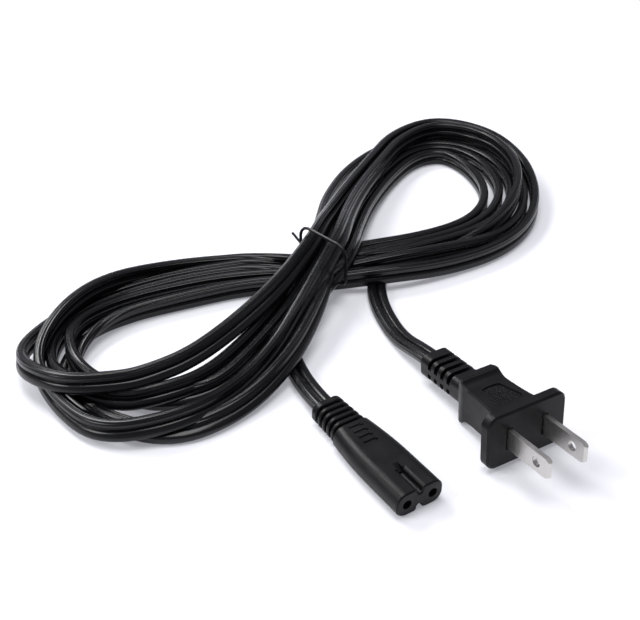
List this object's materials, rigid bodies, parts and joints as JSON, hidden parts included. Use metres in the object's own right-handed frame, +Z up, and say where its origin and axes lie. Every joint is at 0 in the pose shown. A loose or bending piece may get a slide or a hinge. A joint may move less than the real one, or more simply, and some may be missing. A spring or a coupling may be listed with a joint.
{
  "type": "figure eight power connector cord set",
  "caption": "Flat two-core power cord with a moulded figure eight socket connector at one end and a two-blade plug at the other, looped and tied in a hank.",
  "frame": {"origin": "centre of the connector's footprint, on the surface that it lies on", "axes": "+X along the connector towards its socket face, +Z up from the surface, +Y to the connector's left, towards the plug"},
  "size_m": [0.2033, 0.2357, 0.0231],
  "materials": {
    "black_pvc": "satin moulded PVC",
    "black_insert": "hard moulded plastic",
    "contact_metal": "plain brass",
    "blade_metal": "bright nickel plate on brass",
    "core_pvc": "soft insulated copper core",
    "cord_pvc": "satin flat cord jacket, one lobe finely ribbed",
    "tie_pvc": "black coated wire"
  },
  "bodies": {
    "root": {"connector_body": "black_pvc", "connector_insert": "black_insert", "connector_contact_left": "contact_metal", "connector_contact_right": "contact_metal", "connector_lead_left": "core_pvc", "connector_lead_right": "core_pvc", "plug_body": "black_pvc", "plug_carrier": "black_insert", "plug_blade_left": "blade_metal", "plug_blade_right": "blade_metal", "plug_lead_left": "core_pvc", "plug_lead_right": "core_pvc", "cord_tail_connector": "cord_pvc", "cord_hank": "cord_pvc", "cord_tail_plug": "cord_pvc", "twist_tie": "tie_pvc"}
  },
  "joints": []
}
